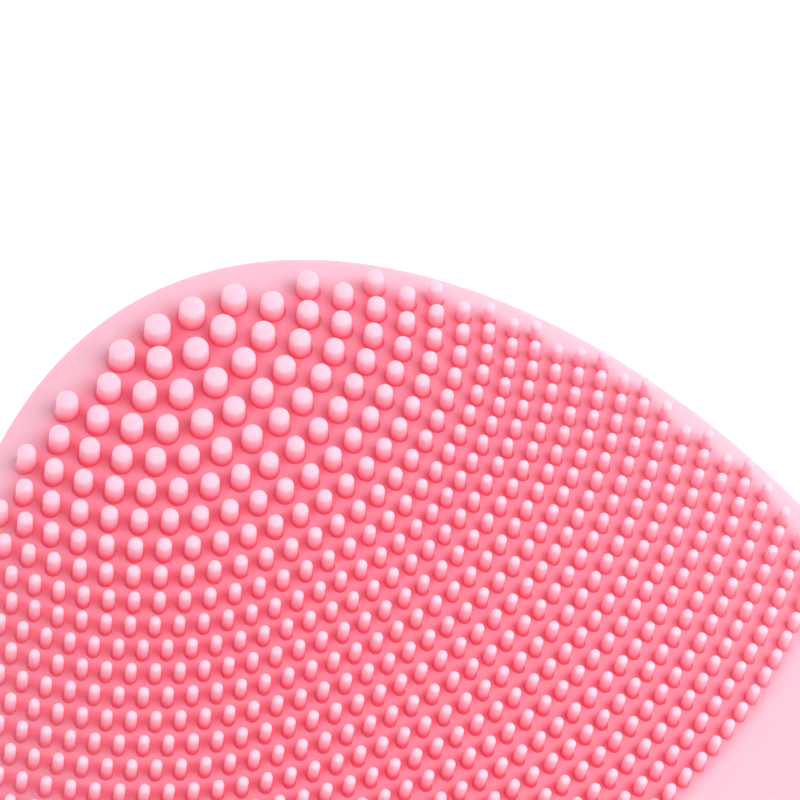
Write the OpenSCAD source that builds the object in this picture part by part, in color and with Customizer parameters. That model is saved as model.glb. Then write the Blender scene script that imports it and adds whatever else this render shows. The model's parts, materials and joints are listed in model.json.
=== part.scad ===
// Hand-held facial cleansing brush: an egg-shaped silicone body with a field of
// soft bristles on its front, massage ridges on its back and a vibration motor inside.
// Frame: +Z out of the bristle face, +Y towards the tip, resting on the back ridges at z = 0.

/* [Body outline] */
// Width of the body
body_w = 84; // [82:0.1:86]
// Length of the body
body_l = 110; // [108:1:114]
// How much narrower the tip end is than the lower end
egg_taper = 0.097; // [0.08:0.001:0.11]
// Height of the widest outline above the resting plane, halfway along the body
equator_z = 20; // [19.5:0.1:20.5]
// Slope of the widest outline, which rises towards the tip
equator_tilt = 0.036; // [0.03:0.001:0.04]

/* [Front face] */
// Height of the bristle tips above the widest outline
tip_rise = 11; // [10.6:0.1:11.4]
// Length of a bristle
bristle_len = 2.1; // [1.5:0.1:2.2]
// Distance of the face's highest point from the middle, towards the tip
apex_y = 14.5; // [12:0.1:16]
// Radius of the face's dome across the body
dome_rx = 119; // [110:1:130]
// Radius of the face's dome along the body
dome_ry = 131; // [120:1:140]
// Length over which the dome straightens towards the lower end
dome_relax = 9; // [8:0.5:10]
// Width of the rounded edge round the face
front_edge_w = 6; // [5.5:0.5:7]

/* [Back] */
// Width of the rounded side round the back
rear_edge_w = 28; // [26:1:30]
// Fullness of the rounded side: 2 is an ellipse and more is squarer
rear_fullness = 2.3; // [2:0.1:2.5]
// Radius of the flat middle of the back
flat_r = 20; // [18:1:21]
// Height of the massage ridges
ridge_h = 0.8; // [0.6:0.1:1]
// Number of ring-shaped massage ridges
ridge_count = 3; // [1:1:3]

/* [Walls] */
// Thickness of the silicone skin
skin_t = 1.2; // [1:0.1:1.3]
// Thickness of the hard inner shell
shell_t = 1.6; // [1.4:0.1:1.7]
// Distance of the skin's seam below the widest outline
seam_drop = 2.6; // [2.4:0.1:3]

/* [Bristle field] */
// Width of the smooth rim between the bristle field and the widest outline
field_margin = 1.6; // [1.4:0.1:2.6]
// Radius of the last row of bristles about the centre of the rows
field_r = 57.6; // [56:0.1:59]

/* [Buttons] */
// Diameter of the power button
power_d = 11; // [10:0.5:12]
// Diameter of the plus and minus buttons
level_d = 6.8; // [6:0.2:7]
// Travel of a button
travel = 0.5; // [0.3:0.1:0.5]
// Gap round a button
button_gap = 0.25; // [0.2:0.05:0.3]

/* [Motor] */
// Diameter of the motor can
motor_d = 12; // [11:0.5:12.5]
// Length of the motor can
motor_l = 16; // [14:1:16]
// Diameter of the motor shaft
shaft_d = 1.5; // [1.2:0.1:2]

/* [Hidden] */

$fn = 64;
SEGMENTS = 60;
EDGE_STEPS = [0, 18, 36, 54, 72, 90];
REAR_STEPS = [25, 40, 56, 73, 90];
FRONT_FRACTIONS = [0.86, 0.72, 0.58, 0.44, 0.3, 0.15];
REAR_FRACTIONS = [0.72];
EPS = 0.01;
layer_gap = 0.12;
skin_apex_z = equator_z + tip_rise - bristle_len;
seam_z = equator_z - seam_drop;
back_z = ridge_h;
back_curve = 60;
shell_inset = skin_t + layer_gap;
cavity_inset = shell_inset + shell_t;
field_lift = -0.05;
row_centre_y = body_l / 2 - 0.28;

silicone_pink = [0.98, 0.75, 0.81];
bristle_pink = [0.97, 0.55, 0.62];
shell_white = [0.93, 0.93, 0.93];
metal_grey = [0.72, 0.73, 0.75];

// Where the buttons, the screws and the charging contacts stand, seen from the front
power_at = [0, -30];
plus_at = [13, -21];
minus_at = [-13, -21];
light_at = [0, -40];
post_at = [[26, 8], [-26, 8], [25, -22], [-25, -22]];
board_screw_at = [[15.5, -12], [-15.5, -12], [10, -39], [-10, -39]];
contact_at = [[4.5, -34], [-4.5, -34]];
magnet_at = [[12, -34], [-12, -34]];

// ---- Shape of the body ----

// Point of the widest outline at an angle from the tip
function egg(a) = [
    body_w / 2 * sin(a) * (1 - egg_taper * cos(a)),
    body_l / 2 * cos(a)
];

// Direction out of the outline at the same angle
function egg_out(a) =
    let (
        across = body_l / 2 * sin(a),
        along = body_w / 2 * (cos(a) - egg_taper * cos(2 * a)),
        size = norm([across, along])
    )
    [across, along] / size;

// The outline moved inwards by a distance
function egg_in(a, inset) =
    let (p = egg(a), reach = p * egg_out(a))
    p * (1 - inset / reach);

// Distance of a point inside the outline from the outline
function edge_gap(x, y) = min([for (a = [0:2:358]) norm(egg(a) - [x, y])]);

// Height of the widest outline at a place along the body
function equator(y) = equator_z + equator_tilt * y;

// Fall of the dome along the body, from its highest point
function dome_fall(v) =
    v > 0
        ? v * v / (2 * dome_ry)
        : pow(dome_relax, 2) / dome_ry * (sqrt(1 + pow(v / dome_relax, 2)) - 1);

// Height of the dome that the front face follows inside its rounded edge
function dome(x, y) = skin_apex_z - x * x / (2 * dome_rx) - dome_fall(y - apex_y);

// Height of the surface that the back follows inside its rounded side
function back(x, y) =
    back_z + pow(max(0, norm([x, y]) - flat_r), 2) / (2 * back_curve);

// Point of the front surface on its rounded edge, at a step of the edge's quarter turn
function front_edge(a, step, inset) =
    let (
        width = front_edge_w - inset,
        p = egg_in(a, inset + width * (1 - cos(step))),
        top = dome(p[0], p[1]) - inset
    )
    [p[0], p[1], equator(p[1]) + (top - equator(p[1])) * sin(step)];

// Point of the front surface inside the rounded edge
function front_inner(a, fraction, inset) =
    let (p = egg_in(a, front_edge_w) * fraction)
    [p[0], p[1], dome(p[0], p[1]) - inset];

// Point of the back surface on its rounded side
function rear_edge(a, step, inset) =
    let (
        width = rear_edge_w - inset,
        p = egg_in(a, inset + width * (1 - pow(cos(step), 2 / rear_fullness))),
        low = back(p[0], p[1]) + inset
    )
    [p[0], p[1], equator(p[1]) - (equator(p[1]) - low) * pow(sin(step), 2 / rear_fullness)];

// Point of the back surface inside the rounded side
function rear_inner(a, fraction, inset) =
    let (p = egg_in(a, rear_edge_w) * fraction)
    [p[0], p[1], back(p[0], p[1]) + inset];

// Point of the back surface where it meets the seam's plane
function seam_point(a, inset) =
    let (
        q = 0.98 * egg(a),
        depth = equator(q[1]) - back(q[0], q[1]) - inset,
        width = rear_edge_w - inset,
        share = 1 - pow((equator(q[1]) - seam_z) / depth, rear_fullness),
        p = egg_in(a, inset + width * (1 - pow(share, 1 / rear_fullness)))
    )
    [p[0], p[1], seam_z];

// Height of the front and back surfaces over any point, moved inwards by a distance
function front_height(x, y, inset) =
    let (
        width = front_edge_w - inset,
        gap = min(width, edge_gap(x, y) - inset),
        top = dome(x, y) - inset
    )
    equator(y) + (top - equator(y)) * sqrt(1 - pow(1 - gap / width, 2));

function rear_height(x, y, inset) =
    let (
        width = rear_edge_w - inset,
        gap = min(width, edge_gap(x, y) - inset),
        low = back(x, y) + inset
    )
    equator(y) - (equator(y) - low)
        * pow(1 - pow(1 - gap / width, rear_fullness), 1 / rear_fullness);

// ---- Building blocks ----

function angle_of(i) = 360 * i / SEGMENTS;

function ring(kind, value, inset) = [
    for (i = [0:SEGMENTS - 1])
        kind == "front_edge" ? front_edge(angle_of(i), value, inset)
        : kind == "front_inner" ? front_inner(angle_of(i), value, inset)
        : kind == "rear_edge" ? rear_edge(angle_of(i), value, inset)
        : kind == "rear_inner" ? rear_inner(angle_of(i), value, inset)
        : seam_point(angle_of(i), inset)
];

function reversed(list) = [for (i = [len(list) - 1:-1:0]) list[i]];

// Rings of the front surface from the middle out to the seam
function front_rings(inset) = concat(
    [for (f = reversed(FRONT_FRACTIONS)) ring("front_inner", f, inset)],
    [for (s = reversed(EDGE_STEPS)) ring("front_edge", s, inset)],
    [ring("seam", 0, inset)]
);

// Rings of the back surface from the seam in to the middle
function rear_rings(inset) = concat(
    [ring("seam", 0, inset)],
    [for (s = REAR_STEPS) ring("rear_edge", s, inset)],
    [for (f = REAR_FRACTIONS) ring("rear_inner", f, inset)]
);

// Closed solid through a stack of rings, with a pole at each end
module ring_solid(rings, first_pole, last_pole) {
    n = len(rings);
    last = 1 + n * SEGMENTS;
    points = concat([first_pole], [for (r = rings) each r], [last_pole]);
    faces = concat(
        [for (i = [0:SEGMENTS - 1]) [0, 1 + (i + 1) % SEGMENTS, 1 + i]],
        [for (k = [0:n - 2], i = [0:SEGMENTS - 1])
            let (
                p = 1 + k * SEGMENTS + i,
                q = 1 + k * SEGMENTS + (i + 1) % SEGMENTS
            )
            each [[p, q, q + SEGMENTS], [p, q + SEGMENTS, p + SEGMENTS]]],
        [for (i = [0:SEGMENTS - 1])
            [last, 1 + (n - 1) * SEGMENTS + i, 1 + (n - 1) * SEGMENTS + (i + 1) % SEGMENTS]]
    );
    polyhedron(points = points, faces = reversed_faces(faces), convexity = 6);
}

function reversed_faces(faces) = [for (f = faces) [f[0], f[2], f[1]]];

module front_layer(outer, inner)
    ring_solid(
        concat(front_rings(outer), reversed(front_rings(inner))),
        [0, 0, dome(0, 0) - outer],
        [0, 0, dome(0, 0) - inner]
    );

module rear_layer(outer, inner)
    ring_solid(
        concat(reversed(rear_rings(inner)), rear_rings(outer)),
        [0, 0, back(0, 0) + inner],
        [0, 0, back(0, 0) + outer]
    );

module egg_plate(inset)
    polygon([for (i = [0:SEGMENTS - 1]) egg_in(-angle_of(i), inset)]);

module pin(at, d, z0, z1)
    translate([at[0], at[1], z0]) cylinder(d = d, h = z1 - z0);

module tube(at, d, bore, z0, z1)
    difference() {
        pin(at, d, z0, z1);
        pin(at, bore, z0 - 1, z1 + 1);
    }

// Point of a smooth route from the first to the last of four control points
function route(c, u) =
    pow(1 - u, 3) * c[0] + 3 * u * pow(1 - u, 2) * c[1]
    + 3 * u * u * (1 - u) * c[2] + pow(u, 3) * c[3];

// Direction across a route that turns in an upright plane
function route_up(c, u) =
    let (
        along = route(c, min(1, u + 0.01)) - route(c, max(0, u - 0.01)),
        up = cross(along, [1, 0, 0])
    )
    up / norm(up);

// Wire swept along a route as rings square to it
WIRE_SIDES = 8;
WIRE_RINGS = 14;

module wire(c, d) {
    rings = [
        for (k = [0:WIRE_RINGS - 1], i = [0:WIRE_SIDES - 1])
            let (a = 360 * i / WIRE_SIDES, u = k / (WIRE_RINGS - 1))
            route(c, u) + d / 2 * (cos(a) * [1, 0, 0] + sin(a) * route_up(c, u))
    ];
    sides = [
        for (k = [0:WIRE_RINGS - 2], i = [0:WIRE_SIDES - 1])
            let (
                p = k * WIRE_SIDES + i,
                q = k * WIRE_SIDES + (i + 1) % WIRE_SIDES
            )
            each [[p, q, q + WIRE_SIDES], [p, q + WIRE_SIDES, p + WIRE_SIDES]]
    ];
    last = (WIRE_RINGS - 1) * WIRE_SIDES;
    ends = [
        [for (i = [WIRE_SIDES - 1:-1:0]) i],
        [for (i = [0:WIRE_SIDES - 1]) last + i]
    ];
    polyhedron(points = rings, faces = concat(sides, ends), convexity = 4);
}

// ---- Silicone skin ----

module front_skin()
    color(silicone_pink)
    difference() {
        front_layer(0, skin_t);
        pin(power_at, power_d, seam_z, skin_apex_z + 1);
        pin(plus_at, level_d, seam_z, skin_apex_z + 1);
        pin(minus_at, level_d, seam_z, skin_apex_z + 1);
    }

// Closed solid that fills the bristles' outer shape, from the skin to the tips
FIELD_STEPS = [0.15, 0.3, 0.45, 0.6, 0.75, 0.88, 1];

function field_outline(a) =
    let (
        p = egg_in(a, field_margin),
        centre = [0, row_centre_y],
        reach = norm(p - centre)
    )
    reach > field_r ? centre + (p - centre) * field_r / reach : p;

function field_middle() = [0, apex_y + 8];

function field_point(i, f, lift) =
    let (
        middle = field_middle(),
        p = middle + (field_outline(angle_of(i)) - middle) * f
    )
    [p[0], p[1], front_height(p[0], p[1], 0) + lift];

module bristle_field() {
    middle = field_middle();
    base = dome(middle[0], middle[1]);
    color(bristle_pink)
    ring_solid(
        concat(
            [for (f = FIELD_STEPS) [for (i = [0:SEGMENTS - 1]) field_point(i, f, bristle_len)]],
            [for (f = reversed(FIELD_STEPS)) [for (i = [0:SEGMENTS - 1]) field_point(i, f, field_lift)]]
        ),
        [middle[0], middle[1], base + bristle_len],
        [middle[0], middle[1], base + field_lift]
    );
}

module rear_skin()
    color(silicone_pink)
    difference() {
        union() {
            rear_layer(0, skin_t);
            massage_ridges();
        }
        for (at = contact_at) pin(at, contact_hole_d, -1, equator_z);
    }

ridge_w = 3;
ridge_step = 5.5;
ridge_crest = 1.2;

module massage_ridges()
    for (i = [1:ridge_count])
        rotate_extrude()
            polygon([
                [ridge_step * i - ridge_w / 2, back_z + skin_t / 2],
                [ridge_step * i - ridge_crest / 2, 0],
                [ridge_step * i + ridge_crest / 2, 0],
                [ridge_step * i + ridge_w / 2, back_z + skin_t / 2]
            ]);

// ---- Buttons ----

guide_end_z = 19.9;
flange_t = 0.8;
flange_rest_gap = 0.1;
stem_d = 3;
stem_end_z = 17.7;
button_rise = 0.45;
button_dome_r = 40;
guide_wall = 1.3;

// A button cap that follows the face's slope, with a flange and a stem below it
module button_body(at, d) {
    slope_x = -at[0] / dome_rx;
    slope_y = (dome(at[0], at[1] + 1) - dome(at[0], at[1] - 1)) / 2;
    out = [-slope_x, -slope_y, 1] / norm([-slope_x, -slope_y, 1]);
    top = [at[0], at[1], dome(at[0], at[1]) + button_rise];
    flange_z = guide_end_z - flange_rest_gap - flange_t;
    intersection() {
        pin(at, d - 2 * button_gap, flange_z + EPS, skin_apex_z);
        translate(top - button_dome_r * out) sphere(r = button_dome_r, $fn = 96);
    }
    pin(at, d + 1.4, flange_z, flange_z + flange_t);
    pin(at, stem_d, stem_end_z, flange_z + EPS);
}

mark_len = 2.6;
mark_w = 0.6;
mark_h = 0.15;

module button_mark(at, turn)
    translate([at[0], at[1], dome(at[0], at[1]) + button_rise])
        rotate([0, 0, turn])
            cube([mark_len, mark_w, 2 * mark_h], center = true);

module power_button() color(silicone_pink) button_body(power_at, power_d);

module plus_button()
    color(silicone_pink) {
        button_body(plus_at, level_d);
        button_mark(plus_at, 0);
        button_mark(plus_at, 90);
    }

module minus_button()
    color(silicone_pink) {
        button_body(minus_at, level_d);
        button_mark(minus_at, 0);
    }

// ---- Hard inner shells ----

post_d = 5.5;
screw_d = 2;
joint_gap = 0.1;

module button_guide(at, d)
    pin(at, d + 2 * guide_wall, guide_end_z, dome(at[0], at[1]) - shell_inset - 1);

module inner_front_shell()
    color(shell_white)
    difference() {
        union() {
            front_layer(shell_inset, cavity_inset);
            button_guide(power_at, power_d);
            button_guide(plus_at, level_d);
            button_guide(minus_at, level_d);
            for (at = post_at)
                pin(at, post_d, seam_z + joint_gap, front_height(at[0], at[1], cavity_inset) + 0.2);
        }
        pin(power_at, power_d, seam_z, skin_apex_z);
        pin(plus_at, level_d, seam_z, skin_apex_z);
        pin(minus_at, level_d, seam_z, skin_apex_z);
        pin(light_at, light_d + 0.4, seam_z, skin_apex_z);
        for (at = post_at) pin(at, screw_d, seam_z - 1, seam_z + 4);
    }

module inner_rear_shell()
    color(shell_white)
    difference() {
        union() {
            rear_layer(shell_inset, cavity_inset);
            for (at = post_at)
                pin(at, post_d, rear_height(at[0], at[1], cavity_inset) + 0.4, seam_z);
        }
        for (at = post_at) pin(at, screw_d, seam_z - 7, seam_z + 1);
        for (at = contact_at) pin(at, contact_hole_d, -1, equator_z);
    }

// Rubber ring that seals the two inner shells against each other, just inside the seam
seal_drop = 0.3;
seal_h = 1.2;

module seal_ring()
    color([0.25, 0.25, 0.27])
    translate([0, 0, seam_z - seal_drop])
        linear_extrude(height = seal_h)
            difference() {
                egg_plate(cavity_inset + 2.6);
                egg_plate(cavity_inset + 3.6);
            }

module shell_screws()
    color(metal_grey)
    for (at = post_at) pin(at, screw_d - 0.1, seam_z - 6.5, seam_z + 3.5);

// ---- Electronics ----

chassis_z = 11.2;
chassis_t = 1;
chassis_y0 = -42;
chassis_y1 = 8.5;
board_z = 12.6;
board_t = 1;
board_top_z = board_z + board_t;
board_half_w = 18.5;
board_y0 = -44;
board_y1 = -8;
light_d = 5;
screw_head_d = 3.4;
screw_head_h = 1.2;

// Plate that carries the board above and the battery below
module chassis()
    color([0.85, 0.86, 0.88])
    difference() {
        translate([0, 0, chassis_z])
            linear_extrude(height = chassis_t)
                intersection() {
                    egg_plate(11);
                    translate([-30, chassis_y0]) square([60, chassis_y1 - chassis_y0]);
                }
        for (at = post_at) pin(at, post_d + 0.4, 0, equator_z);
        for (at = contact_at) pin(at, contact_hole_d + 1, 0, equator_z);
    }

module circuit_board()
    color([0.1, 0.4, 0.25])
    difference() {
        translate([0, 0, board_z])
            linear_extrude(height = board_t)
                intersection() {
                    egg_plate(8.5);
                    translate([-board_half_w, board_y0])
                        square([2 * board_half_w, board_y1 - board_y0]);
                }
        for (at = board_screw_at) pin(at, screw_d + 0.2, board_z - 1, board_top_z + 1);
    }

module board_screws()
    color(metal_grey)
    for (at = board_screw_at) {
        pin(at, screw_d, chassis_z + chassis_t + layer_gap, board_top_z + layer_gap + EPS);
        pin(at, screw_head_d, board_top_z + layer_gap, board_top_z + layer_gap + screw_head_h);
    }

// A small package soldered to the board
module chip(at, size)
    translate([at[0] - size[0] / 2, at[1] - size[1] / 2, board_top_z + layer_gap]) cube(size);

module board_chips()
    color([0.12, 0.12, 0.13]) {
        chip([-8, -14], [6, 6, 1]);
        chip([1, -14], [5, 4, 1.2]);
        chip([9, -13.5], [3, 3, 0.9]);
        chip([-14, -31], [4, 5, 1.1]);
        chip([14, -32], [3.2, 2.4, 0.9]);
        chip([8.5, -20], [1.6, 0.9, 0.6]);
        chip([-8.5, -21], [1.6, 0.9, 0.6]);
    }

switch_w = 6;
level_switch_w = 4.5;
switch_h = 3.1;
plunger_h = 0.3;

module tact_switch(at, w) {
    chip(at, [w, w, switch_h]);
    pin(at, w / 2, board_top_z + switch_h, board_top_z + switch_h + plunger_h);
}

module tact_switches()
    color([0.2, 0.2, 0.22]) {
        tact_switch(power_at, switch_w);
        tact_switch(plus_at, level_switch_w);
        tact_switch(minus_at, level_switch_w);
    }

led_h = 0.9;

module status_leds()
    color([0.95, 0.95, 0.85])
    for (x = [-1.6, 0, 1.6]) chip([x, light_at[1]], [1, 0.9, led_h]);

module light_guide()
    color([0.9, 0.93, 0.95])
    pin(light_at, light_d, board_top_z + led_h + 0.3, dome(0, light_at[1]) - skin_t - 0.6);

// ---- Battery ----

battery_w = 30;
battery_l = 36;
battery_h = 4.6;
battery_y = -9;
battery_z = 6.4;
foam_z = 4;

module battery_cell()
    color([0.75, 0.77, 0.8])
    translate([-battery_w / 2, battery_y - battery_l / 2, battery_z])
        cube([battery_w, battery_l, battery_h]);

module battery_foam()
    color([0.35, 0.35, 0.36])
    translate([-12, battery_y - 10, foam_z])
        cube([24, 20, battery_z - layer_gap - foam_z]);

wire_d = 1;

module battery_wires()
    color([0.8, 0.15, 0.12])
    for (side = [-1, 1])
        wire([
            [9 * side, battery_y + battery_l / 2, battery_z + 2.5],
            [9 * side, 14, battery_z + 2.5],
            [8 * side, 10, 17],
            [6 * side, board_y1 - 1, board_top_z + 0.7]
        ], wire_d);

// ---- Motor ----

motor_at = [0, 12, 15];
motor_front_y = motor_at[1] + motor_l;
shaft_bore = shaft_d + 0.1;
weight_r = 5.5;
weight_t = 5;
damper_d = motor_d + 3;

// Turns an upright shape so that it runs along the body, starting from the motor's rear
module along_motor(from)
    translate([motor_at[0], motor_at[1] + from, motor_at[2]])
        rotate([-90, 0, 0])
            children();

module motor_can()
    color(metal_grey)
    difference() {
        union() {
            along_motor(0) cylinder(d = motor_d, h = motor_l);
            along_motor(-1.2) cylinder(d = 4, h = 1.3);
            along_motor(motor_l - 0.1) cylinder(d = 4.4, h = 1.1);
        }
        along_motor(2) cylinder(d = shaft_bore, h = motor_l + 4);
    }

module motor_shaft()
    color([0.6, 0.6, 0.62])
    along_motor(3) cylinder(d = shaft_d, h = motor_l + 5.6);

module eccentric_weight()
    color([0.55, 0.5, 0.42])
    difference() {
        along_motor(motor_l + 2.2)
            difference() {
                cylinder(r = weight_r, h = weight_t);
                translate([-weight_r - 1, 1.6, -1]) cube([2 * weight_r + 2, weight_r, weight_t + 2]);
            }
        along_motor(motor_l) cylinder(d = shaft_d, h = weight_t + 4);
    }

module motor_dampers()
    color([0.2, 0.2, 0.21])
    for (from = [1.5, motor_l - 4.5])
        difference() {
            along_motor(from) cylinder(d = damper_d, h = 3);
            along_motor(from - 1) cylinder(d = motor_d + 0.02, h = 5);
        }

bracket_w = 20;
bracket_z0 = 5.1;

module motor_bracket()
    color([0.8, 0.82, 0.85])
    difference() {
        translate([-bracket_w / 2, motor_at[1] + 1, bracket_z0])
            cube([bracket_w, motor_l - 2, motor_at[2] - bracket_z0]);
        along_motor(-1) cylinder(d = damper_d + 0.02, h = motor_l + 2);
    }

module motor_wires()
    color([0.15, 0.25, 0.7])
    for (side = [-1, 1])
        wire([
            [3.2 * side, motor_at[1] - 0.1, motor_at[2] + 1],
            [3.2 * side, 6, motor_at[2] + 1],
            [3 * side, 0, board_top_z + 2],
            [2.6 * side, board_y1 - 1.5, board_top_z + 0.6]
        ], wire_d);

// ---- Charging ----

contact_hole_d = 3.6;
contact_d = 2.8;
contact_top_z = 9.6;

module charging_contacts()
    color([0.85, 0.7, 0.35])
    for (at = contact_at)
        pin(at, contact_d, rear_height(at[0], at[1], 0) + 0.35, contact_top_z);

module contact_seals()
    color([0.2, 0.2, 0.21])
    for (at = contact_at) {
        base = rear_height(at[0], at[1], skin_t) + 0.3;
        tube(at, contact_hole_d - 0.02, contact_d + 0.02, base, base + 1.4);
    }

module charging_magnets()
    color(metal_grey)
    for (at = magnet_at) {
        floor_z = rear_height(at[0], at[1], cavity_inset);
        pin(at, 5, floor_z + 1.6, floor_z + 3.8);
    }

front_skin();
bristle_field();
rear_skin();
power_button();
plus_button();
minus_button();
inner_front_shell();
inner_rear_shell();
seal_ring();
shell_screws();
chassis();
circuit_board();
board_chips();
tact_switches();
status_leds();
light_guide();
board_screws();
battery_cell();
battery_foam();
battery_wires();
motor_can();
motor_dampers();
motor_bracket();
motor_wires();
motor_shaft();
eccentric_weight();
charging_contacts();
contact_seals();
charging_magnets();
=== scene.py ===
"""Looks of a palm-held silicone face brush: its skin, its bristles, its buttons and every piece inside.

Sizes are in millimetres until a mesh is made. The frame is the part's own: +Z out of the bristle
face, +Y towards the tip, and the back's ridges resting on z = 0.
"""

import json
import math

import bpy
import numpy as np
from mathutils import Matrix, Vector


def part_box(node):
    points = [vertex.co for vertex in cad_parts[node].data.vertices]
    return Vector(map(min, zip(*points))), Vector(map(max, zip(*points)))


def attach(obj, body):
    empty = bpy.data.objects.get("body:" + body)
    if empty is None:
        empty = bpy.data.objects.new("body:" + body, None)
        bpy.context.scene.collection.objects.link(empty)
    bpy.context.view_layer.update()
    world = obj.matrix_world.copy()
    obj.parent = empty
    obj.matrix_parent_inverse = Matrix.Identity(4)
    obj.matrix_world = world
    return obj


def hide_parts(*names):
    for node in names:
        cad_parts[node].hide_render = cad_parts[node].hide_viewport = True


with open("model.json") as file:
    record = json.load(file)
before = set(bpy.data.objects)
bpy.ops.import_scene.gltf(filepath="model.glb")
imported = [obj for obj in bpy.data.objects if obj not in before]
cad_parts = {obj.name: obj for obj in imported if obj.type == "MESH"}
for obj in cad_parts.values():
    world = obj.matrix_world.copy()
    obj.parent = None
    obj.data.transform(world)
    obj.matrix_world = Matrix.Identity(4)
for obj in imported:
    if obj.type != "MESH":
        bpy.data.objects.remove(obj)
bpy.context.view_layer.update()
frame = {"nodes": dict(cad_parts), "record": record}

MM = 0.001

# Body
BODY_W = 84.0
BODY_L = 110.0
EGG_TAPER = 0.097
EQUATOR_Z = 20.0
EQUATOR_TILT = 0.036
SEAM_Z = 17.4
SKIN_T = 1.2

# Front face
TIP_Z = 31.0
BRISTLE_LEN = 2.1
APEX_Y = 14.5
DOME_RX = 119.0
DOME_RY = 131.0
DOME_RELAX = 9.0
FRONT_EDGE_W = 6.0

# Back
REAR_EDGE_W = 28.0
REAR_FULLNESS = 2.3
FLAT_R = 20.0
BACK_CURVE = 60.0
RIDGE_H = 0.8
RIDGE_STEP = 5.5
RIDGE_W = 3.0
RIDGES = 3
RIDGE_FLATNESS = 1.25
RIDGE_ROUNDNESS = 0.7

# Bristles: arc-shaped rows about a centre near the tip, seen along the mould's pull direction
ROWS = 26
PULL_TILT = math.radians(12)
ROW_CENTRE = np.array([0.0, BODY_L / 2 - 0.28, 25.5])
FIRST_ROW_R = 3.27
SECOND_ROW_R = 6.16
FIRST_STEP = 3.31
FINE_PITCH = 1.855
PITCH_AT_ZERO = 3.31
PITCH_FALL = 0.137
FINE_STEP = 1.89
STEP_AT_ZERO = 3.30
STEP_FALL = 0.1335
THICKEST = 2.04
BRISTLE_SPACE = 1.04
LEAN = 0.183
LEAN_GAIN = 0.3
ACROSS_GAIN = -0.09
LOW_ACROSS = 0.07
LOW_Y = 30
LOW_FADE = 12
SIDE_FADE = 15
MOST_STEPS = 30
WIDEST_ANGLE = math.radians(80)
THICK_ROWS = 8
FITTING_ROUNDS = 12

# Painted shade between the bristles: bell curves whose widths are shares of the step along a row
FIELD_REACH = 0.85
FIELD_RANGE = (0.5, 1.9)
ROOT_SHIFT = 0.4
SHADE_ACROSS = 0.36
SHADE_ALONG = 0.7
SHADE_RANGE = (0.3, 1.4)
SHADE_BACK = 0.3
SIDE_PALENESS = 0.26
SIDE_RANGE = (8, 36)
CHUNK = 4000
FIELD_MARGIN = 1.85

# Buttons: place and diameter
POWER = (0.0, -30.0, 11.0)
PLUS = (13.0, -21.0, 6.8)
MINUS = (-13.0, -21.0, 6.8)
CONTACTS = ((4.5, -34.0, 3.6), (-4.5, -34.0, 3.6))


# ---------------------------------------------------------------- the body's shape


def outline(a):
    """Egg: half the width times sin a (1 - taper cos a) across, half the length times cos a along."""
    return np.stack(
        [BODY_W / 2 * np.sin(a) * (1 - EGG_TAPER * np.cos(a)), BODY_L / 2 * np.cos(a)], -1
    )


def outline_reach(a):
    """Distance from the middle to the egg's tangent line: the outline point dotted with its normal."""
    across = BODY_L / 2 * np.sin(a)
    along = BODY_W / 2 * (np.cos(a) - EGG_TAPER * np.cos(2 * a))
    point = outline(a)
    return (point[..., 0] * across + point[..., 1] * along) / np.hypot(across, along)


TURN = np.linspace(0, 2 * np.pi, 1441)
TURN_BEARING = np.unwrap(np.arctan2(outline(TURN)[:, 0], outline(TURN)[:, 1]))


def rim(bearing):
    """Radius and reach of the outline in a direction, counted from the tip."""
    a = np.interp(np.mod(bearing, 2 * np.pi), TURN_BEARING, TURN)
    return np.linalg.norm(outline(a), axis=-1), outline_reach(a)


def edge_gap(x, y):
    """Distance inside the outline: its reach times the share of the radius that is left."""
    radius, reach = rim(np.arctan2(x, y))
    return (1 - np.hypot(x, y) / radius) * reach


def equator(y):
    """Height of the widest outline: it rises evenly towards the tip."""
    return EQUATOR_Z + EQUATOR_TILT * y


def dome_fall(v):
    """A parabola towards the tip, and a hyperbola that straightens towards the lower end."""
    low = DOME_RELAX**2 / DOME_RY * (np.sqrt(1 + (v / DOME_RELAX) ** 2) - 1)
    return np.where(v > 0, v**2 / (2 * DOME_RY), low)


def tip_dome(x, y):
    """The dome that every bristle tip touches."""
    return TIP_Z - x**2 / (2 * DOME_RX) - dome_fall(y - APEX_Y)


def face_height(x, y, inset=0.0):
    """The dome less a bristle's length, joined to the equator by a quarter ellipse at its edge."""
    width = FRONT_EDGE_W - inset
    gap = np.clip(edge_gap(x, y) - inset, 0, width)
    top = tip_dome(x, y) - BRISTLE_LEN - inset
    return equator(y) + (top - equator(y)) * np.sqrt(1 - (1 - gap / width) ** 2)


def back_floor(x, y):
    """Flat in the middle, then rising as a parabola."""
    return RIDGE_H + np.maximum(0, np.hypot(x, y) - FLAT_R) ** 2 / (2 * BACK_CURVE)


def back_height(x, y, inset=0.0):
    """The back's floor joined to the equator by a quarter of a superellipse."""
    width = REAR_EDGE_W - inset
    gap = np.clip(edge_gap(x, y) - inset, 0, width)
    low = back_floor(x, y) + inset
    share = (1 - (1 - gap / width) ** REAR_FULLNESS) ** (1 / REAR_FULLNESS)
    return equator(y) - (equator(y) - low) * share


def ridges(x, y):
    """Ring-shaped ridges: a rounded bump on every ring, and a small one in the middle."""
    r = np.hypot(x, y)
    ring = np.clip(np.round(r / RIDGE_STEP), 0, RIDGES) * RIDGE_STEP
    bump = np.clip(1 - (np.abs(r - ring) / (RIDGE_W / 2)) ** 2, 0, 1)
    return RIDGE_H * np.minimum(1, RIDGE_FLATNESS * bump**RIDGE_ROUNDNESS)


# ---------------------------------------------------------------- mesh helpers


def smooth_step(x, low, high):
    t = np.clip((x - low) / (high - low), 0, 1)
    return t * t * (3 - 2 * t)


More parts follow.
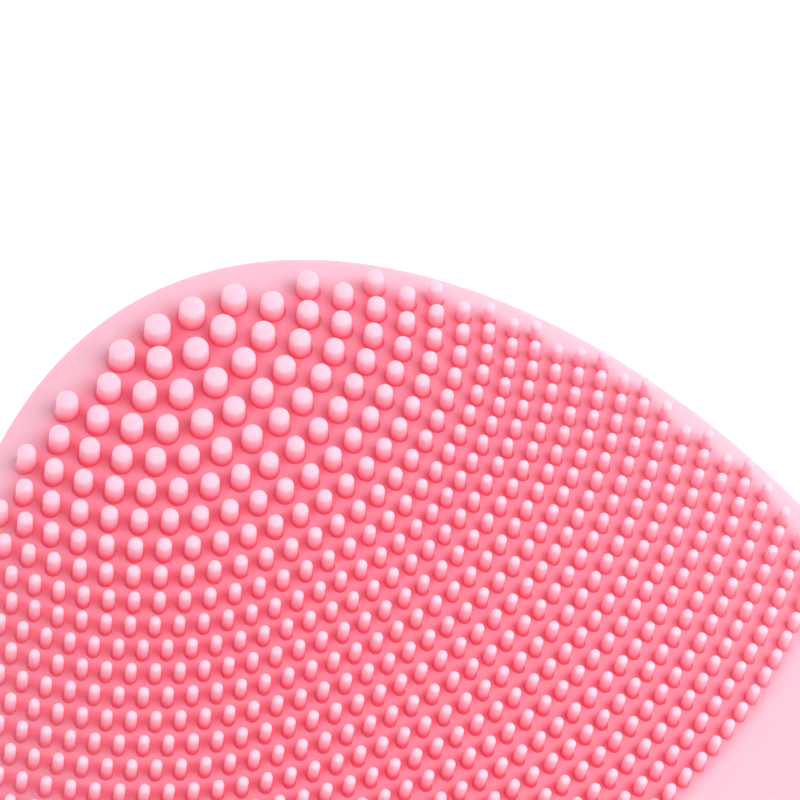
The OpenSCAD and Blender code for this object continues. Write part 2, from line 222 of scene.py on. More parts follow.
def grid_faces(rows, columns):
    """Quads between rings of a grid that closes on itself round each ring."""
    k, i = np.meshgrid(np.arange(rows - 1), np.arange(columns), indexing="ij")
    p = k * columns + i
    q = k * columns + (i + 1) % columns
    return np.stack([p, p + columns, q + columns, q], -1).reshape(-1, 4)


def make_piece(name, points, quads, triangles, body, finish, replaces=()):
    """One smooth-shaded object from arrays of points in mm, quads and triangles."""
    mesh = bpy.data.meshes.new(name)
    corners = np.concatenate([quads.ravel(), triangles.ravel()])
    sizes = np.concatenate([np.full(len(quads), 4), np.full(len(triangles), 3)])
    starts = np.concatenate([[0], np.cumsum(sizes)[:-1]])
    mesh.vertices.add(len(points))
    mesh.vertices.foreach_set("co", (np.asarray(points) * MM).astype(np.float32).ravel())
    mesh.loops.add(len(corners))
    mesh.loops.foreach_set("vertex_index", corners.astype(np.int32))
    mesh.polygons.add(len(sizes))
    mesh.polygons.foreach_set("loop_start", starts.astype(np.int32))
    mesh.polygons.foreach_set("use_smooth", np.ones(len(sizes), bool))
    mesh.update(calc_edges=True)
    piece = bpy.data.objects.new(name, mesh)
    bpy.context.scene.collection.objects.link(piece)
    piece.data.materials.append(finish)
    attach(piece, body)
    if replaces:
        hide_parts(*replaces)
    return piece


def ring_shell(rings, first_pole, last_pole):
    """Closed surface through a stack of rings, with a fan of triangles to a pole at each end."""
    count, columns = rings.shape[:2]
    points = np.concatenate([rings.reshape(-1, 3), [first_pole], [last_pole]])
    i = np.arange(columns)
    j = (i + 1) % columns
    first = np.full(columns, count * columns)
    last = first + 1
    base = (count - 1) * columns
    fans = np.concatenate([np.stack([first, i, j], -1), np.stack([last, base + j, base + i], -1)])
    return points, grid_faces(count, columns), fans


def put_attribute(piece, name, values):
    layer = piece.data.attributes.new(name, "FLOAT", "POINT")
    layer.data.foreach_set("value", values.astype(np.float32))


def vertex_places(piece):
    places = np.empty(len(piece.data.vertices) * 3)
    piece.data.vertices.foreach_get("co", places)
    return places.reshape(-1, 3) / MM


HOLE_SIDES = 96


def cut_holes(piece, holes, low, high):
    """Cuts an upright round hole for each (x, y, diameter)."""
    for x, y, diameter in holes:
        bpy.ops.mesh.primitive_cylinder_add(
            vertices=HOLE_SIDES,
            radius=diameter / 2 * MM,
            depth=(high - low) * MM,
            location=(x * MM, y * MM, (low + high) / 2 * MM),
        )
        cutter = bpy.context.object
        hole = piece.modifiers.new("hole", "BOOLEAN")
        hole.object = cutter
        hole.operation = "DIFFERENCE"
        hole.solver = "EXACT"
        bpy.context.view_layer.update()
        cut = bpy.data.meshes.new_from_object(
            piece.evaluated_get(bpy.context.evaluated_depsgraph_get())
        )
        piece.modifiers.clear()
        piece.data = cut
        bpy.data.objects.remove(cutter)


# ---------------------------------------------------------------- materials


class Value:
    """A socket in a material's tree. Arithmetic on it adds Math nodes."""

    def __init__(self, finish, socket):
        self.finish = finish
        self.socket = socket

    def _math(self, operation, *values):
        return self.finish.node("ShaderNodeMath", {"operation": operation}, *values)

    def __add__(self, other):
        return self._math("ADD", self, other)

    __radd__ = __add__

    def __sub__(self, other):
        return self._math("SUBTRACT", self, other)

    def __rsub__(self, other):
        return self._math("SUBTRACT", other, self)

    def __mul__(self, other):
        return self._math("MULTIPLY", self, other)

    __rmul__ = __mul__

    def __pow__(self, other):
        return self._math("POWER", self, other)

    def clamped(self):
        return self.finish.node(
            "ShaderNodeMath", {"operation": "ADD", "use_clamp": True}, self, 0.0
        )


class Finish:
    """A material with one Principled shader, and a method that adds any other node."""

    def __init__(self, name, color, roughness, **constants):
        self.material = bpy.data.materials.new(name)
        self.material.use_nodes = True
        self.tree = self.material.node_tree
        self.shader = self.tree.nodes["Principled BSDF"]
        self.material.diffuse_color = (*color, 1)
        self.set("Base Color", (*color, 1))
        self.set("Roughness", roughness)
        for socket, value in constants.items():
            self.set(socket.replace("_", " "), value)

    def set(self, socket, value):
        self._feed(self.shader.inputs[socket], value)

    def _feed(self, socket, value):
        if isinstance(value, Value):
            self.tree.links.new(value.socket, socket)
        else:
            socket.default_value = value

    def node(self, kind, settings, *values, output=0, **named):
        """Adds a node, applies its settings, then feeds its sockets by order or by name."""
        node = self.tree.nodes.new(kind)
        for key, value in settings.items():
            setattr(node, key, value)
        for socket, value in zip(node.inputs, values, strict=False):
            self._feed(socket, value)
        for key, value in named.items():
            matching = [s for s in node.inputs if s.name == key.replace("_", " ") and s.enabled]
            self._feed(matching[0], value)
        sockets = [s for s in node.outputs if s.enabled]
        chosen = sockets[output] if isinstance(output, int) else node.outputs[output]
        return Value(self, chosen)

    def places(self):
        return self.node("ShaderNodeTexCoord", {}, output="Object")

    def noise(self, scale, detail=3.0, roughness=0.5):
        return self.node(
            "ShaderNodeTexNoise",
            {},
            Vector=self.places(),
            Scale=scale,
            Detail=detail,
            Roughness=roughness,
        )

    def attribute(self, name):
        return self.node("ShaderNodeAttribute", {"attribute_name": name}, output="Fac")

    def mix(self, factor, first, second):
        settings = {"data_type": "RGBA", "clamp_factor": True}
        return self.node("ShaderNodeMix", settings, Factor=factor, A=first, B=second)

    def bump(self, height, strength, distance_mm):
        normal = self.node(
            "ShaderNodeBump", {}, Height=height, Strength=strength, Distance=distance_mm * MM
        )
        self.set("Normal", normal)


PALE_PINK = (0.93, 0.50, 0.60)
TIP_PINK = (0.95, 0.58, 0.69)
# Painted shade: the coral colour painted where the skin lies between the bristles.
PAINTED_SHADE_CORAL = (0.94, 0.265, 0.36)
# Painted shadow: the deep coral along the rows of roots and low on each bristle.
PAINTED_DEEP_SHADE = (0.92, 0.085, 0.15)
# Painted glow: a faint red emission that stands in for light scattered through the silicone between the
# bristles.
PAINTED_GLOW = (0.06, 0.008, 0.018)
CLOUD_TINT = (1, 0.72, 0.78)
CLOUD_SHARE = 0.06
SCATTER_COLORS = (1.0, 0.35, 0.4)
SCATTER_REACH = 1.6
# How strong the painted shade is on the skin between the bristles.
SKIN_PAINTED_SHADE = 0.9
# How strong the painted shadow along the rows of roots is.
ROOT_PAINTED_SHADOW = 0.8
# How strong the painted shade is low on the bristles, and how fast it fades upwards.
BRISTLE_PAINTED_SHADE = 1.1
BRISTLE_SHADE_FADE = 2.0


def silicone(name, painted_shade_amount, palest=PALE_PINK, painted_shade_color=PAINTED_SHADE_CORAL, root_shaded=False):
    """Soft pink silicone: paler where it stands free, with coral painted shade and a faint painted glow
    where it lies deep between the bristles.
    """
    finish = Finish(
        name,
        palest,
        0.42,
        Subsurface_Weight=0.7,
        Subsurface_Radius=SCATTER_COLORS,
        Subsurface_Scale=SCATTER_REACH * MM,
        IOR=1.41,
        Specular_IOR_Level=0.2,
        Emission_Strength=1.0,
    )
    cloud = finish.noise(60, 2.0)
    # Painted shade: how far each point is tinted towards the coral shade colour.
    depth = painted_shade_amount(finish)
    tint = finish.mix(depth, (*palest, 1), (*painted_shade_color, 1))
    # Painted shadow: the skin is deepest coral along each row of roots, where the bristles' shadows and
    # shade fall.
    if root_shaded:
        shade = finish.attribute("root_shade") * ROOT_PAINTED_SHADOW
        tint = finish.mix(shade, tint, (*PAINTED_DEEP_SHADE, 1))
    finish.set("Base Color", finish.mix(cloud * CLOUD_SHARE, tint, (*CLOUD_TINT, 1)))
    # Painted glow: a faint red emission wherever the painted shade lies.
    finish.set("Emission Color", finish.mix(depth, (0, 0, 0, 1), (*PAINTED_GLOW, 1)))
    grain = finish.noise(2600, 2.0)
    finish.set("Roughness", 0.40 + 0.08 * grain)
    finish.bump(grain, 0.12, 0.02)
    return finish.material


def skin_painted_shade(finish):
    """How much coral painted shade the front skin gets: only between the bristles."""
    return finish.attribute("shade_between_bristles") * SKIN_PAINTED_SHADE


def bristle_painted_shade(finish):
    """How much coral painted shade a bristle gets: a power of the way down, less at the edge of the
    field.
    """
    low = (1 - finish.attribute("rise")).clamped()
    crowd = finish.attribute("shade_between_bristles")
    return (BRISTLE_PAINTED_SHADE * low**BRISTLE_SHADE_FADE * crowd).clamped()


def no_painted_shade(finish):
    """Smooth pieces stay pale, with a faint cloud."""
    return finish.noise(25, 1.0) * 0.02


skin_silicone = silicone("skin silicone", skin_painted_shade, root_shaded=True)
bristle_silicone = silicone("bristle silicone", bristle_painted_shade, TIP_PINK, PAINTED_DEEP_SHADE)
plain_silicone = silicone("button silicone", no_painted_shade)


def moulded_plastic(name, color, roughness):
    """Moulded plastic: an even colour with a fine spark-eroded grain."""
    finish = Finish(name, color, roughness)
    grain = finish.noise(900, 3.0)
    shade = tuple(0.92 * c for c in color)
    finish.set("Base Color", finish.mix(grain, (*color, 1), (*shade, 1)))
    finish.set("Roughness", roughness + 0.12 * (grain - 0.5))
    finish.bump(grain, 0.25, 0.05)
    return finish.material


def soft_rubber(name, color):
    """Matte rubber with a faint bloom."""
    finish = Finish(name, color, 0.8)
    bloom = finish.noise(250, 4.0, 0.6)
    pale = tuple(min(1, c + 0.05) for c in color)
    finish.set("Base Color", finish.mix(bloom, (*color, 1), (*pale, 1)))
    finish.set("Roughness", 0.7 + 0.2 * bloom)
    finish.bump(bloom, 0.3, 0.04)
    return finish.material


def metal(name, color, roughness):
    """Drawn metal: fine lines along the body and slightly uneven gloss."""
    finish = Finish(name, color, roughness, Metallic=1.0)
    lines = finish.node(
        "ShaderNodeTexNoise",
        {},
        Vector=finish.node("ShaderNodeMapping", {}, Vector=finish.places(), Scale=(900, 40, 900)),
        Scale=1.0,
        Detail=2.0,
    )
    shade = tuple(0.85 * c for c in color)
    finish.set("Base Color", finish.mix(lines, (*color, 1), (*shade, 1)))
    finish.set("Roughness", roughness + 0.18 * (lines - 0.5))
    finish.bump(lines, 0.15, 0.01)
    return finish.material


def printed_board(name):
    """Green solder mask over copper tracks, which show as a slightly lighter, raised maze."""
    finish = Finish(name, (0.02, 0.16, 0.08), 0.35, Coat_Weight=0.3)
    tracks = finish.node(
        "ShaderNodeTexVoronoi",
        {"feature": "DISTANCE_TO_EDGE"},
        Vector=finish.places(),
        Scale=420,
    )
    line = finish.node("ShaderNodeMath", {"operation": "LESS_THAN"}, tracks, 0.08)
    finish.set("Base Color", finish.mix(line, (0.02, 0.16, 0.08, 1), (0.05, 0.28, 0.14, 1)))
    finish.bump(line, 0.3, 0.03)
    return finish.material


def clear_plastic(name):
    """Clear light-guide plastic with a faint haze."""
    finish = Finish(name, (0.95, 0.97, 0.98), 0.08, Transmission_Weight=0.6, IOR=1.49)
    haze = finish.noise(300, 2.0)
    finish.set("Roughness", 0.05 + 0.1 * haze)
    return finish.material


def wrapped_foil(name):
    """Battery pouch foil with soft creases."""
    finish = Finish(name, (0.70, 0.72, 0.75), 0.35, Metallic=0.8)
    creases = finish.noise(180, 5.0, 0.65)
    finish.set("Roughness", 0.28 + 0.2 * creases)
    finish.bump(creases, 0.4, 0.15)
    return finish.material


CARRIED_FINISHES = {
    "shell": moulded_plastic("shell plastic", (0.83, 0.83, 0.84), 0.5),
    "black_rubber": soft_rubber("black rubber", (0.02, 0.02, 0.022)),
    "steel": metal("drawn steel", (0.62, 0.63, 0.65), 0.3),
    "board": printed_board("printed board"),
    "chips": moulded_plastic("chip resin", (0.02, 0.02, 0.022), 0.55),
    "clear": clear_plastic("clear plastic"),
    "battery_wrap": wrapped_foil("battery foil"),
    "red_wire": moulded_plastic("red wire sleeve", (0.55, 0.02, 0.02), 0.4),
    "blue_wire": moulded_plastic("blue wire sleeve", (0.02, 0.06, 0.45), 0.4),
    "brass": metal("gold-plated brass", (0.83, 0.62, 0.25), 0.22),
}

slot_of = {part["node"]: part["material_slot"] for part in frame["record"]["subparts"]}
for node_name, node_object in frame["nodes"].items():
    finish = CARRIED_FINISHES.get(slot_of[node_name])
    if finish:
        node_object.data.materials.clear()
        node_object.data.materials.append(finish)


# ---------------------------------------------------------------- skin


SEGMENTS = 512
BEARINGS = np.linspace(0, 2 * np.pi, SEGMENTS, endpoint=False)
DIRECTION = np.stack([np.sin(BEARINGS), np.cos(BEARINGS)], -1)
RIM_RADIUS, RIM_REACH = rim(BEARINGS)
NEAR_RIM = 0.98


def ring_at_gap(gap):
    """Radii of the outline moved inwards by a distance."""
    return RIM_RADIUS * (1 - gap / RIM_REACH)


def lift(radii, height):
    """A ring of points at the given radii, with heights worked out by a function of x and y."""
    flat = radii[:, None] * DIRECTION
    return np.concatenate([flat, height(flat[:, 0], flat[:, 1])[:, None]], -1)


def face_rings(inset, edge_steps, inner_steps):
    """The face from its middle to the equator, as rings of points."""
    width = FRONT_EDGE_W - inset
    band = ring_at_gap(inset + width)
    inner = [
        lift(band * f, lambda x, y: face_height(x, y, inset))
        for f in np.linspace(0, 1, inner_steps + 1)[1:]
    ]
    edge = [
        lift(ring_at_gap(inset + width * (1 - math.cos(t))), lambda x, y: face_height(x, y, inset))
        for t in np.linspace(np.pi / 2, 0, edge_steps + 1)[1:]
    ]
    return inner + edge


def seam_share(inset, level):
    """How far round the side's quarter turn the back's surface reaches a level, in each direction."""
    flat = NEAR_RIM * RIM_RADIUS[:, None] * DIRECTION
    depth = equator(flat[:, 1]) - back_floor(flat[:, 0], flat[:, 1]) - inset
    return ((equator(flat[:, 1]) - level) / depth) ** REAR_FULLNESS


def seam_ring(inset, level):
    """The ring at a level, on the back's surface moved inwards by the inset."""
    width = REAR_EDGE_W - inset
    share = (1 - seam_share(inset, level)) ** (1 / REAR_FULLNESS)
    radii = ring_at_gap(inset + width * (1 - share))
    return np.concatenate([radii[:, None] * DIRECTION, np.full((SEGMENTS, 1), level)], -1)


def wall_rings(inset, steps):
    """Rings from the equator down to just above the seam, at even shares of the way."""
    width = REAR_EDGE_W - inset
    flat = NEAR_RIM * RIM_RADIUS[:, None] * DIRECTION
    depth = equator(flat[:, 1]) - back_floor(flat[:, 0], flat[:, 1]) - inset
    top = equator(RIM_RADIUS * DIRECTION[:, 1])
    rings = []
    for share in np.linspace(0, 1, steps + 1)[1:-1]:
        level = top + (SEAM_Z - top) * share
        turn = (1 - ((top - level) / depth) ** REAR_FULLNESS) ** (1 / REAR_FULLNESS)
        radii = ring_at_gap(inset + width * (1 - turn))
        rings.append(np.concatenate([radii[:, None] * DIRECTION, level[:, None]], -1))
    return rings


def moved_inwards(ring, distance):
    """A ring moved towards the middle by a small distance."""
    out = ring.copy()
    out[:, :2] -= DIRECTION * distance
    return out


SEAM_ROUND = 0.18
SEAM_OPEN = 0.02
LIP_SHARE = 0.3
BELOW_SEAM = 0.6
BACK_TURN_END = 1.257


def build_face_skin():
    """Front skin: outer face, a rounded edge at the seam, and the inner face."""
    lip = moved_inwards(seam_ring(0, SEAM_Z + LIP_SHARE * SEAM_ROUND), LIP_SHARE * SEAM_ROUND)
    foot = moved_inwards(seam_ring(0, SEAM_Z), SEAM_ROUND)
    wall = [*wall_rings(0, 8), seam_ring(0, SEAM_Z + SEAM_ROUND)]
    outer = [*face_rings(0, 20, 130), *wall, lip, foot]
    inner = [seam_ring(SKIN_T, SEAM_Z), *reversed(face_rings(SKIN_T, 10, 12))]
    rings = np.stack(outer + inner)
    middle = float(face_height(np.zeros(1), np.zeros(1))[0])
    points, quads, fans = ring_shell(rings, (0, 0, middle), (0, 0, middle - SKIN_T))
    piece = make_piece(
        "face_skin", points, quads, fans, "body", skin_silicone, ["front_skin"]
    )
    cut_holes(piece, (POWER, PLUS, MINUS), SEAM_Z + 1, TIP_Z + 2)
    places = vertex_places(piece)
    # Painted shade between the bristles, kept on the skin's points.
    share = field_share(places[:, 0], places[:, 1])
    put_attribute(piece, "shade_between_bristles", share)
    # Painted shadow along the rows of roots, kept on the skin's points.
    put_attribute(piece, "root_shade", share * root_shade(places[:, 0], places[:, 1]))
    return piece


def back_rings(inset, bumps):
    """The back from the seam to its middle, as rings of points."""
    width = REAR_EDGE_W - inset

    def height(x, y):
        return back_height(x, y, inset) - (ridges(x, y) if bumps else 0)

    first = np.arcsin(np.sqrt(seam_share(inset, SEAM_Z - BELOW_SEAM)))
    steps = [first + (BACK_TURN_END - first) * f for f in np.linspace(0, 1, 26 if bumps else 8)]
    radii = [ring_at_gap(inset + width * (1 - np.cos(t) ** (2 / REAR_FULLNESS))) for t in steps]
    edge = [lift(r, height) for r in radii]
    last = radii[-1]
    circle = np.full(SEGMENTS, RIDGES * RIDGE_STEP + RIDGE_W / 2 + 0.3)
    blend = np.linspace(0, 1, 14 if bumps else 5)[1:]
    between = [lift(last + (circle - last) * f, height) for f in blend]
    shares = np.linspace(1, 0, 90 if bumps else 5)[1:-1]
    middle = [lift(circle * f, height) for f in shares]
    return edge + between + middle


def build_back_skin():
    """Rear skin: a rounded edge at the seam, the outer back with its ridges, and the inner back."""
    foot = moved_inwards(seam_ring(0, SEAM_Z - SEAM_OPEN), SEAM_ROUND)
    lip = moved_inwards(seam_ring(0, SEAM_Z - LIP_SHARE * SEAM_ROUND), LIP_SHARE * SEAM_ROUND)
    wall = [seam_ring(0, SEAM_Z - SEAM_ROUND)]
    inner_foot = seam_ring(SKIN_T, SEAM_Z - SEAM_OPEN)
    outer = [foot, lip, *wall, *back_rings(0, True)]
    inner = [*reversed(back_rings(SKIN_T, False)), inner_foot]
    rings = np.stack(inner + outer)
    points, quads, fans = ring_shell(rings, (0, 0, RIDGE_H + SKIN_T), (0, 0, 0))
    piece = make_piece(
        "back_skin", points, quads, fans, "body", plain_silicone, ["rear_skin"]
    )
    cut_holes(piece, CONTACTS, -2, SEAM_Z - 2)
    return piece


# ---------------------------------------------------------------- bristles


def row_step(row):
    """Distance between neighbours along a row: it falls evenly, then stays at the fine step."""
    return np.where(row == 1, FIRST_STEP, np.maximum(FINE_STEP, STEP_AT_ZERO - STEP_FALL * row))


def row_radii():
    """Radii of the rows: each pitch falls evenly to the fine pitch."""
    rows = np.arange(2, ROWS)
    pitches = np.maximum(FINE_PITCH, PITCH_AT_ZERO - PITCH_FALL * rows)
    return np.concatenate([[FIRST_ROW_R, SECOND_ROW_R], SECOND_ROW_R + np.cumsum(pitches)])


PULL = np.array([0, math.sin(PULL_TILT), math.cos(PULL_TILT)])
DOWN_FACE = np.array([0, -math.cos(PULL_TILT), math.sin(PULL_TILT)])


def bristle_tips():
    """Every bristle's tip and row: steps along each arc, kept where they lie inside the rim."""
    all_steps = np.arange(-MOST_STEPS, MOST_STEPS + 1)
    rows, steps = np.meshgrid(np.arange(1, ROWS + 1), all_steps, indexing="ij")
    rows = rows.ravel()
    steps = steps.ravel() + np.where(rows == 1, 0.5, 0.0)
    radius = row_radii()[rows - 1]
    angle = steps * row_step(rows) / radius
    kept = np.abs(angle) < WIDEST_ANGLE
    rows, radius, angle = rows[kept], radius[kept], angle[kept]
    tips = (
        ROW_CENTRE
        + (radius * np.sin(angle))[:, None] * np.array([1.0, 0, 0])
        + (radius * np.cos(angle))[:, None] * DOWN_FACE
    )
    for _ in range(FITTING_ROUNDS):
        tips = tips + ((tip_dome(tips[:, 0], tips[:, 1]) - tips[:, 2]) / PULL[2])[:, None] * PULL
    kept = edge_gap(tips[:, 0], tips[:, 1]) > FIELD_MARGIN
    return tips[kept], rows[kept]


def field_share(x, y):
    """Mask of painted shade: one between the bristles and nought outside, a sum of bell curves, each as
    wide as its pitch.
    """
    tips, rows = bristle_tips()
    reach = FIELD_REACH * row_step(rows)
    share = np.zeros(len(x))
    for start in range(0, len(x), CHUNK):
        part = slice(start, start + CHUNK)
        far = np.hypot(x[part, None] - tips[:, 0], y[part, None] - tips[:, 1] + ROOT_SHIFT)
        share[part] = np.exp(-((far / reach) ** 2)).sum(1)
    # The painted shade is lighter towards both sides.
    sides = 1 - SIDE_PALENESS * smooth_step(np.abs(x), *SIDE_RANGE)
    return smooth_step(share, *FIELD_RANGE) * sides


def root_shade(x, y):
    """Painted shadow, deepest along each row of roots: bell curves, long along the row and short across
    it.
    """
    tips, rows = bristle_tips()
    length, axes = lengths_and_axes(tips)
    roots = (tips - length[:, None] * axes)[:, :2]
    away = roots - ROW_CENTRE[:2]
    away /= np.linalg.norm(away, axis=1)[:, None]
    middles = roots - SHADE_BACK * away
    reach = row_step(rows)
    shade = np.zeros(len(x))
    for start in range(0, len(x), CHUNK):
        part = slice(start, start + CHUNK)
        dx = x[part, None] - middles[:, 0]
        dy = y[part, None] - middles[:, 1]
        across = (dx * away[:, 0] + dy * away[:, 1]) / (SHADE_ACROSS * reach)
        along = (dx * away[:, 1] - dy * away[:, 0]) / (SHADE_ALONG * reach)
        shade[part] = np.exp(-(across**2) - along**2).sum(1)
    return smooth_step(shade, *SHADE_RANGE)


def lengths_and_axes(tips):
    """Each bristle leans towards the tip, more so past the dome's top, and reaches down to the skin."""
    lean = LEAN + LEAN_GAIN * (tips[:, 1] - APEX_Y) / DOME_RY
    low_share = np.clip((LOW_Y - tips[:, 1]) / LOW_FADE, 0, 1)
    low_share *= np.clip(tips[:, 0] / SIDE_FADE + 1, 0, 1)
    across = ACROSS_GAIN * tips[:, 0] / DOME_RX + LOW_ACROSS * low_share
    axes = np.stack([across, lean, np.ones(len(tips))], -1)
    axes /= np.linalg.norm(axes, axis=1)[:, None]
    length = np.full(len(tips), BRISTLE_LEN)
    for _ in range(FITTING_ROUNDS):
        root = tips - length[:, None] * axes
        length = length + (root[:, 2] - face_height(root[:, 0], root[:, 1])) / axes[:, 2]
    return length, axes


# Height and extra radius of the flare where a bristle meets the skin
ROOT_FLARE = ((-0.15, 0.2), (0.03, 0.07), (0.2, 0.0))
ROOT_WIDTH = 1.06
CAP_FULLNESS = (0.4, 0.85)
CAP_ROWS = (1, 12)


def bristle_profile(radius, length, fullness, cap_steps):
    """A small flare at the root, a slight taper, and an end that is flat on thick bristles."""
    cap = radius * fullness
    one = np.ones_like(radius)
    heights = [level * one for level, _ in ROOT_FLARE]
    radii = [radius * ROOT_WIDTH + flare for _, flare in ROOT_FLARE]
    heights.append(length - cap)
    radii.append(radius)
    for t in np.linspace(0, np.pi / 2, cap_steps + 1)[1:-1]:
        heights.append(length - cap + cap * math.sin(t))
        radii.append(radius * math.cos(t))
    return np.stack(heights), np.stack(radii)


def build_bristles(name, tips, rows, sides, cap_steps):
    """A set of bristles as one mesh: the profile turned round every bristle's own axis."""
    length, axes = lengths_and_axes(tips)
    thickness = np.minimum(THICKEST, row_step(rows) - BRISTLE_SPACE)
    fullness = np.interp(rows, CAP_ROWS, CAP_FULLNESS)
    heights, radii = bristle_profile(thickness / 2, length, fullness, cap_steps)
    side = np.cross(axes, [0, 0, 1.0]) + np.array([1e-6, 0, 0])
    side /= np.linalg.norm(side, axis=1)[:, None]
    other = np.cross(axes, side)
    turn = np.linspace(0, 2 * np.pi, sides, endpoint=False)
    spokes = (
        np.cos(turn)[None, :, None] * side[:, None] + np.sin(turn)[None, :, None] * other[:, None]
    )
    roots = tips - length[:, None] * axes
    centres = roots[None] + heights[..., None] * axes[None]
    rings = centres[:, :, None] + radii[..., None, None] * spokes[None]
    rings = rings.transpose(1, 0, 2, 3)
    count, levels = rings.shape[:2]
    points = np.concatenate([rings.reshape(count, -1, 3), tips[:, None]], 1)
    per_bristle = points.shape[1]
    offset = (np.arange(count) * per_bristle)[:, None, None]
    quads = (grid_faces(levels, sides)[None, :, ::-1] + offset).reshape(-1, 4)
    i = np.arange(sides)
    base = (levels - 1) * sides
    fan = np.stack([base + i, base + (i + 1) % sides, np.full(sides, per_bristle - 1)], -1)
    fans = (fan[None] + offset).reshape(-1, 3)
    piece = make_piece(
        name,
        points.reshape(-1, 3),
        quads,
        fans,
        "body",
        bristle_silicone,
        ["bristle_field"],
    )
    # Painted shade: coral low on each bristle, by its rise and by the shade between the bristles.
    rise = np.concatenate(
        [np.repeat((heights / length).T, sides, axis=1), np.ones((count, 1))], 1
    )
    put_attribute(piece, "rise", np.clip(rise, 0, 1).ravel())
    flat = points.reshape(-1, 3)
    put_attribute(piece, "shade_between_bristles", field_share(flat[:, 0], flat[:, 1]))
    return piece


# ---------------------------------------------------------------- buttons


BUTTON_GAP = 0.25
BUTTON_RISE = 0.45
BUTTON_STEM = 1.3
BUTTON_ROUND = 0.6
BUTTON_DISH = 0.25
BUTTON_COLUMNS = 96
FLANGE_WIDTH = 0.9
FLANGE_T = 0.8
STEM_RADIUS = 1.5
MARK_FOOT = 0.3
MARK = (2.6, 0.6, 0.15)


def with_bar(points, quads, fans, middle, turned):
    """Adds one raised bar of a plus or minus: a rounded box, as rings that close in towards its top."""
    length, width, rise = MARK
    turn = np.linspace(0, 2 * np.pi, 48, endpoint=False)
    corner = np.stack([np.cos(turn), np.sin(turn)], -1)
    square = np.sign(corner) * np.abs(corner) ** 0.25
    levels = [(-MARK_FOOT, 0.0), (rise - 0.06, 0.0), (rise - 0.02, 0.03), (rise, 0.08)]
    rings = []
    for height, inwards in levels:
        flat = square * (length / 2 - inwards, width / 2 - inwards)
        if turned:
            flat = flat[:, ::-1] * (-1, 1)
        x, y = flat[:, 0] + middle[0], flat[:, 1] + middle[1]
        slope = face_height(x, y) - face_height(np.array([middle[0]]), np.array([middle[1]]))
        rings.append(np.stack([x, y, middle[2] + height + slope], -1))
    rings = np.stack(rings)[::-1, ::-1]
    top = (*middle[:2], middle[2] + rise)
    foot = (*middle[:2], middle[2] - MARK_FOOT)
    bar, bar_quads, bar_fans = ring_shell(rings, top, foot)
    shift = len(points)
    return (
        np.concatenate([points, bar]),
        np.concatenate([quads, bar_quads + shift]),
        np.concatenate([fans, bar_fans + shift]),
    )


def build_button(name, place, body, node, bars=()):
    """A cap that follows the face: a rounded rim, a shallow dish, and its skirt and stem below."""
    x0, y0, diameter = place
    radius = diameter / 2 - BUTTON_GAP
    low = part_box(node)[0][2] / MM
    turn = np.linspace(0, 2 * np.pi, BUTTON_COLUMNS, endpoint=False)
    spoke = np.stack([np.cos(turn), np.sin(turn)], -1)

    def ring(r, height):
        flat = np.array([x0, y0]) + r * spoke
        return np.concatenate([flat, height(flat[:, 0], flat[:, 1], r)[:, None]], -1)

    def top(x, y, r):
        flat_radius = radius - BUTTON_ROUND
        edge = np.clip((r - flat_radius) / BUTTON_ROUND, 0, 1)
        dish = BUTTON_DISH * (1 - np.clip(r / flat_radius, 0, 1) ** 2)
        fall = BUTTON_ROUND * (1 - math.sqrt(1 - edge**2))
        return face_height(x, y) + BUTTON_RISE - fall - dish

    def level(z):
        return lambda x, y, r: np.full(len(x), z)

    flange = low + BUTTON_STEM
    rings = [ring(r, top) for r in np.linspace(0.06, 1, 30) * (radius - BUTTON_ROUND)]
    rim_turn = np.linspace(0.2, np.pi / 2, 8)
    rings += [ring(radius - BUTTON_ROUND * (1 - math.sin(t)), top) for t in rim_turn]
    skirt_and_stem = (
        (radius, flange + 2 * FLANGE_T),
        (radius, flange + FLANGE_T + 0.05),
        (radius + FLANGE_WIDTH, flange + FLANGE_T),
        (radius + FLANGE_WIDTH, flange),
        (STEM_RADIUS, flange),
        (STEM_RADIUS, low),
    )
    rings += [ring(r, level(z)) for r, z in skirt_and_stem]
    rings = np.stack(rings)[:, ::-1]
    crown = float(face_height(np.array([x0]), np.array([y0]))[0]) + BUTTON_RISE - BUTTON_DISH
    points, quads, fans = ring_shell(rings, (x0, y0, crown), (x0, y0, low))
    for turned in bars:
        points, quads, fans = with_bar(points, quads, fans, (x0, y0, crown), turned)
    return make_piece(name, points, quads, fans, body, plain_silicone, [node])


build_face_skin()
build_back_skin()
all_tips, all_rows = bristle_tips()
thick = all_rows <= THICK_ROWS
build_bristles("thick_bristles", all_tips[thick], all_rows[thick], 20, 5)
build_bristles("fine_bristles", all_tips[~thick], all_rows[~thick], 12, 4)
build_button("power_cap", POWER, "power", "power_button")
build_button("plus_cap", PLUS, "plus", "plus_button", (False, True))
build_button("minus_cap", MINUS, "minus", "minus_button", (False,))


# ---------------------------------------------------------------- camera, floor and light


CAMERA_AZIMUTH = -61.34
CAMERA_ELEVATION = 70.56
CAMERA_ROLL = 32.9
CAMERA_DISTANCE = 463.2
CAMERA_LENS = 265.4
SURROUND_STRENGTH = 0.84
KEY_PLACE = (0.24, -0.10, 0.55)
KEY_SIZE = 0.45
KEY_POWER = 1.7
AIM = ROW_CENTRE + np.array([11.47, -17.82, 3.79])


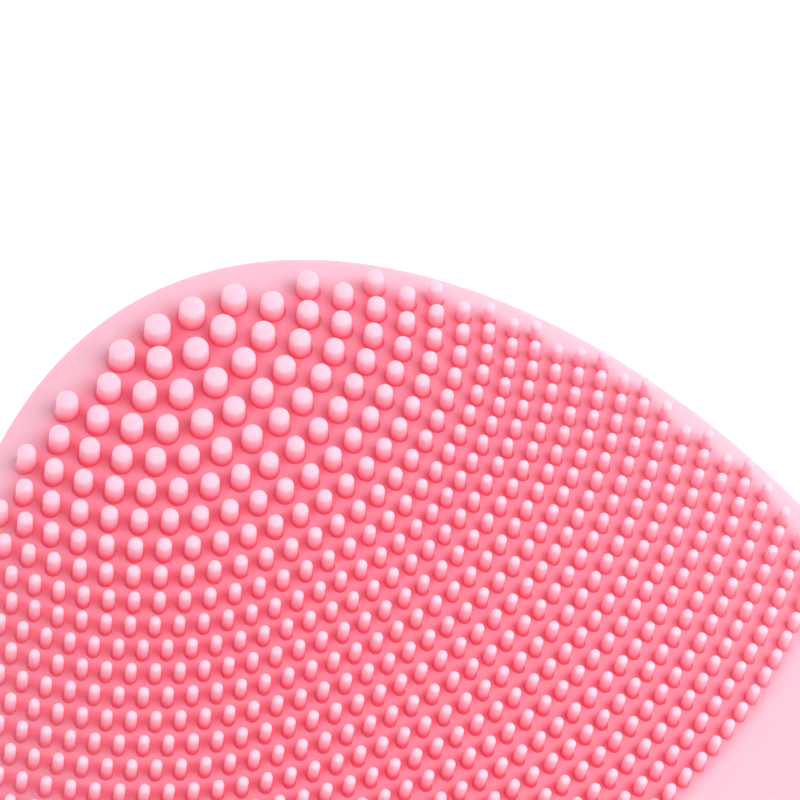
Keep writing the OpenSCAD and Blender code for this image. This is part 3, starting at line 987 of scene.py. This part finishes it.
def place_camera():
    """Looks at the aim point from its azimuth and elevation, turned by the roll about the view."""
    azimuth = math.radians(CAMERA_AZIMUTH)
    elevation = math.radians(CAMERA_ELEVATION)
    roll = math.radians(CAMERA_ROLL)
    back = Vector(
        (
            math.sin(azimuth) * math.cos(elevation),
            -math.cos(azimuth) * math.cos(elevation),
            math.sin(elevation),
        )
    )
    level_right = Vector((math.cos(azimuth), math.sin(azimuth), 0))
    level_up = back.cross(level_right)
    right = level_right * math.cos(roll) + level_up * math.sin(roll)
    up = back.cross(right)
    data = bpy.data.cameras.new("camera")
    data.lens = CAMERA_LENS
    data.sensor_width = 36
    data.clip_start, data.clip_end = 0.01, 10
    camera = bpy.data.objects.new("camera", data)
    bpy.context.scene.collection.objects.link(camera)
    pose = Matrix((right, up, back)).transposed().to_4x4()
    pose.translation = Vector(AIM * MM) + back * CAMERA_DISTANCE * MM
    camera.matrix_world = pose
    bpy.context.scene.camera = camera


def area_light(name, place, aim, size, power):
    """A round soft light at a place in metres, turned towards its aim."""
    data = bpy.data.lights.new(name, "AREA")
    data.shape = "DISK"
    data.size = size
    data.energy = power
    lamp = bpy.data.objects.new(name, data)
    bpy.context.scene.collection.objects.link(lamp)
    lamp.location = place
    lamp.rotation_euler = (Vector(aim) - Vector(place)).to_track_quat("-Z", "Y").to_euler()


def light_the_scene():
    """Bright studio: an even white surround, a pale floor, and one soft light above the right side."""
    world = bpy.data.worlds.new("surround")
    world.use_nodes = True
    world.node_tree.nodes["Background"].inputs["Color"].default_value = (1, 1, 1, 1)
    world.node_tree.nodes["Background"].inputs["Strength"].default_value = SURROUND_STRENGTH
    bpy.context.scene.world = world
    area_light("soft key", KEY_PLACE, (0, 0, 0.02), KEY_SIZE, KEY_POWER)
    floor_finish = Finish("floor paint", (0.9, 0.9, 0.9), 0.9)
    mottle = floor_finish.noise(8, 2.0)
    paint = floor_finish.mix(mottle, (0.9, 0.9, 0.9, 1), (0.92, 0.92, 0.92, 1))
    floor_finish.set("Base Color", paint)
    floor_finish.shader.inputs["Emission Color"].default_value = (1, 1, 1, 1)
    floor_finish.shader.inputs["Emission Strength"].default_value = 0.45
    bpy.ops.mesh.primitive_plane_add(size=4, location=(0, 0, 0))
    floor = bpy.context.object
    floor.name = "floor"
    floor.data.materials.append(floor_finish.material)
    bpy.context.scene.view_settings.view_transform = "Standard"


place_camera()
light_the_scene()
